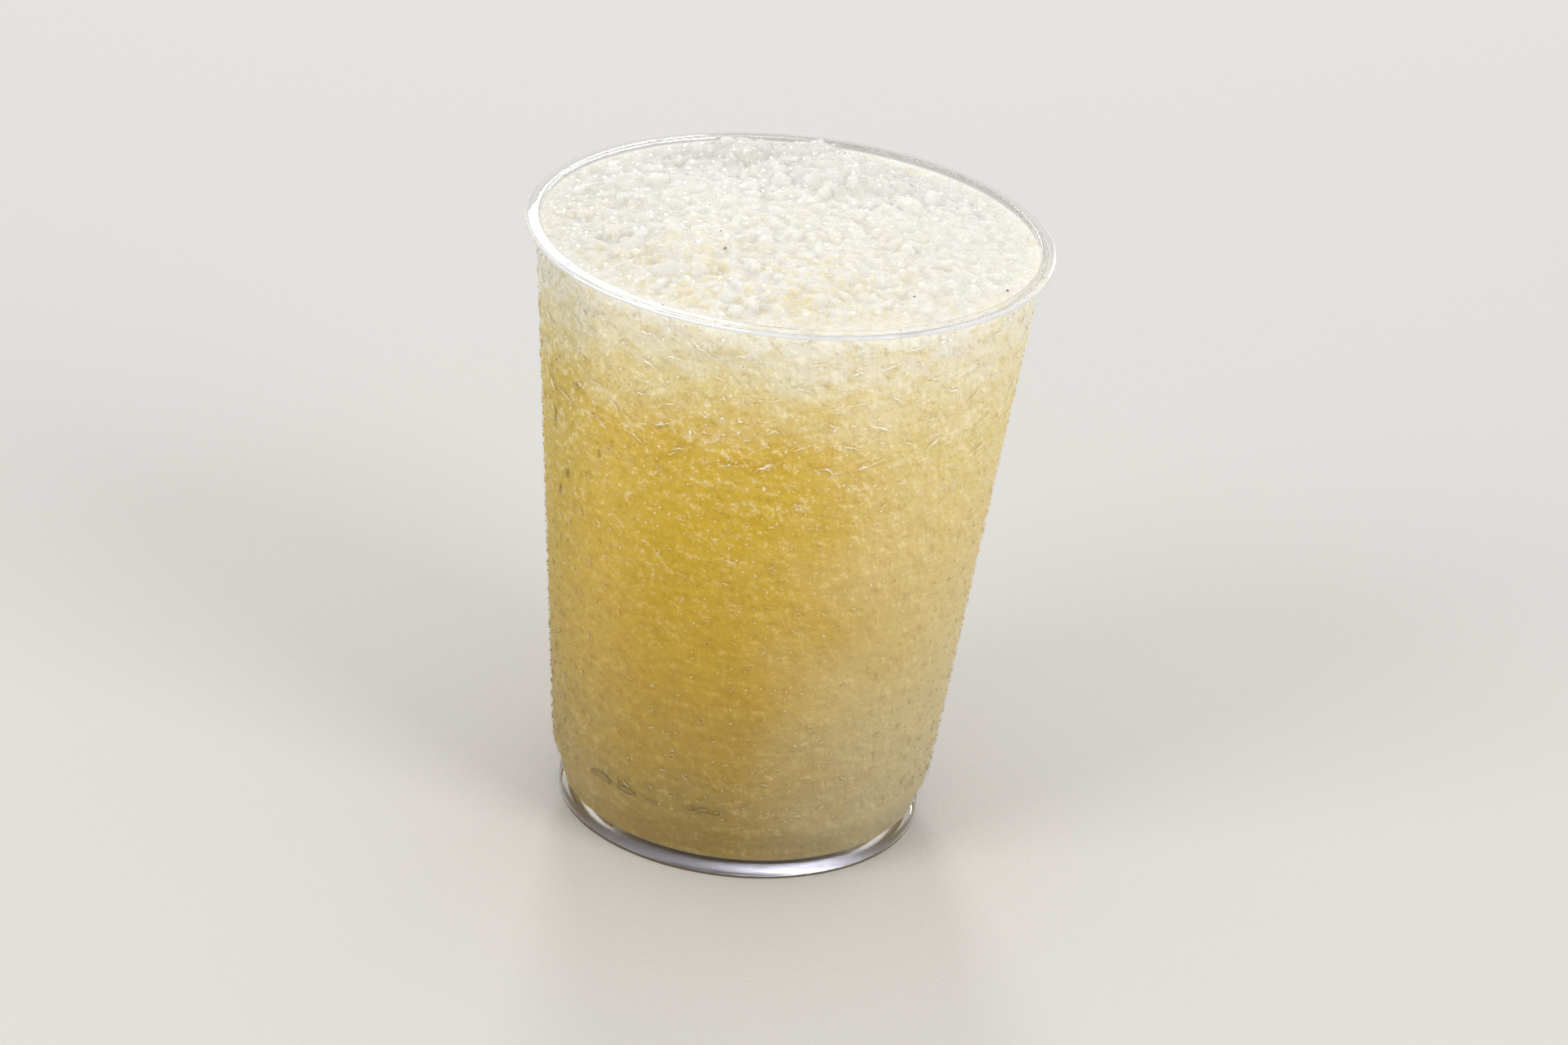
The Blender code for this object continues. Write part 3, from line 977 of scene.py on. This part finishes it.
BUBBLE_SKIN = 0.00016
BUBBLE_SEED = 23
BUBBLE_POINTS = 14
BUBBLE_OVAL = 0.85
BUBBLE_ROUGHNESS = 0.15
ANY_TILT = 1.5
FROST_RELIEF = 0.00004
TUBE_SIDES = 5


class WallGrowth(Growth):
    """A Geometry Nodes tree for what lies flat against the wall of the tumbler."""

    def laid_flat(self, most):
        """A turn that lays local X level, Y up the wall and Z outwards, tilted at random in its plane."""
        around = self.axis(self.place(), "Y").angle_from(self.axis(self.place(), "X")) + pi / 2
        return self.turn(self.combined(pi / 2, self.random(-most, most, 2), around))

    def pressed(self, shape):
        """Moves every point of a shape along its radius on to the sleeve."""
        place = self.place()
        z = self.axis(place, "Z")
        sleeve_radius = (z - STEP_TOP) * WALL_TAPER + (STEP_RADIUS - WALL_THICKNESS + SLEEVE_BITE)
        outwards = sleeve_radius / self.reach()
        target = self.combined(self.axis(place, "X") * outwards, self.axis(place, "Y") * outwards, z)
        return self.add("GeometryNodeSetPosition", None, {"Geometry": shape, "Position": target})

    def ring(self, corners):
        return self.add("GeometryNodeCurvePrimitiveCircle", None, {"Resolution": corners, "Radius": 1.0})

    def tube(self, curve, radius):
        inputs = {"Curve": curve, "Profile Curve": self.ring(TUBE_SIDES), "Scale": radius, "Fill Caps": True}
        return self.add("GeometryNodeCurveToMesh", None, inputs)


def frost_finish(name, colour, roughness):
    """Ice at the wall: yellow like the slush behind it, in patches and low down, and white elsewhere."""
    finish = Finish(name)
    place = finish.place()
    high = finish.band(finish.axis(place, "Z"), CUP_HEIGHT * 0.35, CUP_HEIGHT * 0.92) * 0.75 + 0.25
    whiteness = (finish.band(finish.cloud(place, 420.0, 3.0, 0.6), 0.40, 0.68) * 0.75 + 0.15) * high
    return finish.close(finish.surface({
        "Base Color": finish.blend(whiteness, side_colour(finish, place), colour),
        "Normal": finish.bump(finish.cloud(place, 2500.0, 3.0), FROST_RELIEF),
        "Roughness": roughness, "IOR": ICE_INDEX}))


sleeve_section = [(bore_radius(z) + SLEEVE_BITE, z) for z in heights(SLEEVE_LOW, SLEEVE_HIGH, SLEEVE_RINGS)]
sleeve_mesh = turned(sleeve_section, SLEEVE_SEGMENTS)
sleeve = bpy.data.meshes.new("sleeve")
sleeve_mesh.to_mesh(sleeve)
sleeve_mesh.free()


def frost_ledges(name, gap, sizes, thickness, foot, seed):
    """Broken edges of ice: short crooked lines, thick in the middle, above a height."""
    growth = WallGrowth(name, gap, sizes, seed, {"Thickness": thickness, "Foot": foot})
    points = growth.strewn(growth.above(growth.given("Foot")))
    ends = {"Start": (-0.5, 0.0, 0.0), "End": (0.5, 0.0, 0.0)}
    line = growth.add("GeometryNodeCurvePrimitiveLine", None, ends)
    line = growth.add("GeometryNodeResampleCurve", None, {"Curve": line, "Count": LEDGE_POINTS})
    lines = growth.copies(points, line, growth.laid_flat(LEDGE_TILT), growth.size())
    for size, amount in LEDGE_BENDS:
        lines = growth.roughened(lines, size, amount)
    lines = growth.pressed(lines)
    along = growth.add("GeometryNodeSplineParameter")
    taper = along * (1 - along) * 4
    lumpy = ((growth.cloud(growth.place(), 1900.0, 2.0) - 0.38) * 7).kept_under(1.0)
    radius = growth.given("Thickness") * taper * lumpy.kept_over(LEDGE_THINNEST)
    return growth.grow(growth.tube(lines, radius), frost_finish(name, FROST_AND_HIGHLIGHT_WHITE, LEDGE_ROUGHNESS), sleeve)


def frost_balls(growth, where, ball, finish, height, thickness, push_size, push):
    """Balls of ice pressed against the wall, their heights as parts of their widths."""
    size = growth.size()
    scale = growth.combined(size, size * height, size.kept_under(thickness))
    balls = growth.copies(growth.strewn(where), ball, growth.laid_flat(ANY_TILT), scale)
    return growth.grow(growth.roughened(balls, push_size, push), finish, sleeve)


def frost_lumps():
    """White lumps of ice in clusters just under the lip."""
    growth = WallGrowth("frost_lumps", LUMP_GAP, LUMP_SIZES, LUMP_SEED, {"Foot": LUMP_FOOT})
    clustered = growth.cloud(growth.place(), 150.0, 2.0) > 0.57
    where = growth.above(growth.given("Foot")) * clustered
    finish = frost_finish("lump_ice", LUMP_WHITE, LUMP_ROUGHNESS)
    return frost_balls(growth, where, growth.ball(2), finish, height=0.7, thickness=LUMP_THICKNESS,
                       push_size=0.00035, push=0.0005)


def frost_dots():
    """Small pale dots of ice all over the wall."""
    growth = WallGrowth("frost_dots", DOT_GAP, DOT_SIZES, DOT_SEED)
    finish = frost_finish("frost_dot", ICE_PALE, DOT_ROUGHNESS)
    return frost_balls(growth, True, growth.ball(1), finish, height=0.8, thickness=DOT_THICKNESS,
                       push_size=0.0003, push=0.0001)


def bubble_rings():
    """The pale rims of air bubbles that are shut in at the wall."""
    growth = WallGrowth("bubble_rings", BUBBLE_GAP, BUBBLE_SIZES, BUBBLE_SEED)
    size = growth.size()
    scale = growth.combined(size, size * BUBBLE_OVAL, size)
    rings = growth.copies(growth.strewn(True), growth.ring(BUBBLE_POINTS), growth.laid_flat(ANY_TILT), scale)
    lumpy = growth.cloud(growth.place(), 1500.0, 2.0) - 0.1
    tubes = growth.tube(growth.pressed(rings), lumpy * BUBBLE_SKIN)
    return growth.grow(tubes, frost_finish("bubble_skin", FROST_AND_HIGHLIGHT_WHITE, BUBBLE_ROUGHNESS), sleeve)


wall_frost = [
    frost_ledges("frost_marks", MARK_GAP, MARK_SIZES, MARK_THICKNESS, MARK_FOOT, MARK_SEED),
    frost_ledges("frost_edges", EDGE_GAP, EDGE_SIZES, EDGE_THICKNESS, EDGE_FOOT, EDGE_SEED),
    frost_dots(), bubble_rings(), frost_lumps()]
for piece in wall_frost:
    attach(piece, "root")


# Pockets: gaps where the slush has drawn away from the plastic. They show as thin patches of painted
# shade along the stacking step and as a few upright lenses of it on the left. Each has an azimuth, a
# height up the wall, a width, a height of its own and a lean in degrees.
POCKETS = (
    (-44.2, 0.0113, 0.0038, 0.0009, -4), (-34.5, 0.0110, 0.0034, 0.0008, -4),
    (-26.0, 0.0106, 0.0020, 0.0005, -3), (-13.5, 0.0112, 0.0010, 0.0006, 0),
    (-9.5, 0.0113, 0.0019, 0.0007, 8), (-5.5, 0.0112, 0.0013, 0.0006, -5),
    (-59.6, 0.0568, 0.0006, 0.0017, 5), (-45.2, 0.0633, 0.0004, 0.0012, 14),
    (-54.4, 0.0719, 0.0003, 0.0007, 20), (-66.0, 0.0640, 0.0004, 0.0030, 4),
    (-64.0, 0.0530, 0.0003, 0.0022, -6), (-50.1, 0.0840, 0.0003, 0.0010, 38),
)
POCKET_PAINTED_SHADE = (0.15, 0.12, 0.07, 1.0)
POCKET_DEPTH = 0.00016
POCKET_SPREAD = 0.22
POCKET_SEED = 3


def at_wall(azimuth, z, lean, size):
    """A pose in the wall's inner skin: X level, Y up, Z outwards. Azimuth 0 is the front, + the right."""
    angle = radians(azimuth) - pi / 2
    radius = bore_radius(z) + SLEEVE_BITE
    outward = Vector((cos(angle), sin(angle), -WALL_TAPER))
    turn = outward.to_track_quat("Z", "Y") @ Quaternion((0, 0, 1), radians(lean))
    return Matrix.LocRotScale(Vector((radius * cos(angle), radius * sin(angle), z)), turn, Vector(size) / 2)


def rough_balls(poses, spread, seed):
    """A bmesh of small balls, each in its own pose, their corners pushed in and out."""
    draw = Random(seed)
    mesh = bmesh.new()
    for pose in poses:
        corners = bmesh.ops.create_icosphere(mesh, subdivisions=2, radius=1.0)["verts"]
        for corner in corners:
            corner.co *= draw.uniform(1 - spread, 1 + spread)
        bmesh.ops.transform(mesh, matrix=pose, verts=corners)
    return mesh


def dim_finish(name, colour, share, roughness):
    """A dark speck, or the painted shade of a pocket, its colour mixed unevenly with the slush around it."""
    finish = Finish(name)
    place = finish.place()
    shown = finish.band(finish.cloud(place, 1300.0, 3.0, 0.6), 0.25, 0.50) * share
    return finish.close(finish.surface({
        "Base Color": finish.blend(shown, side_colour(finish, place), colour),
        "Roughness": roughness, "Specular IOR Level": DULL_SHINE}))


pocket_poses = [at_wall(azimuth, z, lean, (width, height, POCKET_DEPTH))
                for azimuth, z, width, height, lean in POCKETS]
# The pockets' dark colour is painted shade, where the gaps hold only shade.
pocket_painted_shade = dim_finish("pocket", POCKET_PAINTED_SHADE, share=0.5, roughness=0.3)
pockets = as_object("pockets", rough_balls(pocket_poses, POCKET_SPREAD, POCKET_SEED), pocket_painted_shade)
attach(pockets, "root")


# Dark specks: crumbs of something dark caught in the ice, six on the top and a loose cluster at
# the wall on the left. Those on the top have x, y and size, the others azimuth, height and size.
TOP_SPECKS = (
    (-0.0088, -0.0141, 0.00050), (-0.0082, -0.0136, 0.00022), (-0.0097, -0.0081, 0.00025),
    (0.0306, -0.0137, 0.00048), (0.0177, -0.0204, 0.00032), (0.0335, 0.0060, 0.00026),
)
WALL_SPECKS = (
    (-39.8, 0.0757, 0.00030), (-38.4, 0.0753, 0.00022), (-41.6, 0.0764, 0.00020),
    (-37.0, 0.0767, 0.00018), (-42.2, 0.0745, 0.00018), (-35.6, 0.0762, 0.00020),
    (-40.9, 0.0662, 0.00024), (-46.0, 0.0648, 0.00020), (-36.5, 0.0560, 0.00018),
    (-20.5, 0.0520, 0.00016),
)
SPECK_COLOUR = (0.10, 0.08, 0.05, 1.0)
SPECK_WIDTH = 0.6
SPECK_TILT = (0.3, 0.2)
SPECK_SPIN = 900
WALL_SPECK_WIDTH = 0.7
WALL_SPECK_SPIN = 7
SPECK_SPREAD = 0.25
SPECK_SEED = 8

speck_poses = []
for x, y, size in TOP_SPECKS:
    resting = Vector((x, y, top_height(x, y) + size * SPECK_WIDTH))
    oval = Vector((size, size * SPECK_WIDTH, size * SPECK_WIDTH)) / 2
    speck_poses.append(Matrix.LocRotScale(resting, Euler((*SPECK_TILT, x * SPECK_SPIN)), oval))
for azimuth, z, size in WALL_SPECKS:
    flat = (size, size * WALL_SPECK_WIDTH, POCKET_DEPTH)
    speck_poses.append(at_wall(azimuth, z, azimuth * WALL_SPECK_SPIN, flat))
speck_dark = dim_finish("speck", SPECK_COLOUR, share=0.9, roughness=0.5)
specks = as_object("specks", rough_balls(speck_poses, SPECK_SPREAD, SPECK_SEED), speck_dark)
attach(specks, "root")


# Drops: beads of clear melt water, nearly round. They stand on the lip and cling to it, sunk in
# a little. Each has x, y and a size.
DROPS = (
    (-0.0163, -0.0315, 0.00085), (-0.0202, -0.0311, 0.00060), (0.0008, -0.0357, 0.00045),
    (0.0161, -0.0321, 0.00050), (0.0181, -0.0310, 0.00045), (0.0227, -0.0276, 0.00070),
    (-0.0300, -0.0205, 0.00055), (0.0352, -0.0075, 0.00060), (-0.0090, -0.0352, 0.00055),
)
DROP_SINK = 0.0001
DROP_HEIGHT = 0.8
DROP_SPREAD = 0.03
DROP_SEED = 4
WATER_TINT = (0.97, 0.98, 1.0, 1.0)
WATER_INDEX = 1.33
WATER_ROUGHNESS = 0.02


def water_finish():
    finish = Finish("water")
    wave = finish.cloud(finish.place(), 700.0, 2.0)
    water = finish.surface({
        "Base Color": WATER_TINT, "Roughness": wave * WATER_ROUGHNESS + WATER_ROUGHNESS,
        "IOR": WATER_INDEX, "Transmission Weight": 1.0})
    return finish.close(lets_light_through(finish, water))


drop_poses = [Matrix.LocRotScale(Vector((x, y, CUP_HEIGHT - DROP_SINK)), None,
                                 Vector((size, size, size * DROP_HEIGHT)) / 2) for x, y, size in DROPS]
drops = as_object("drops", rough_balls(drop_poses, DROP_SPREAD, DROP_SEED), water_finish())
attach(drops, "root")
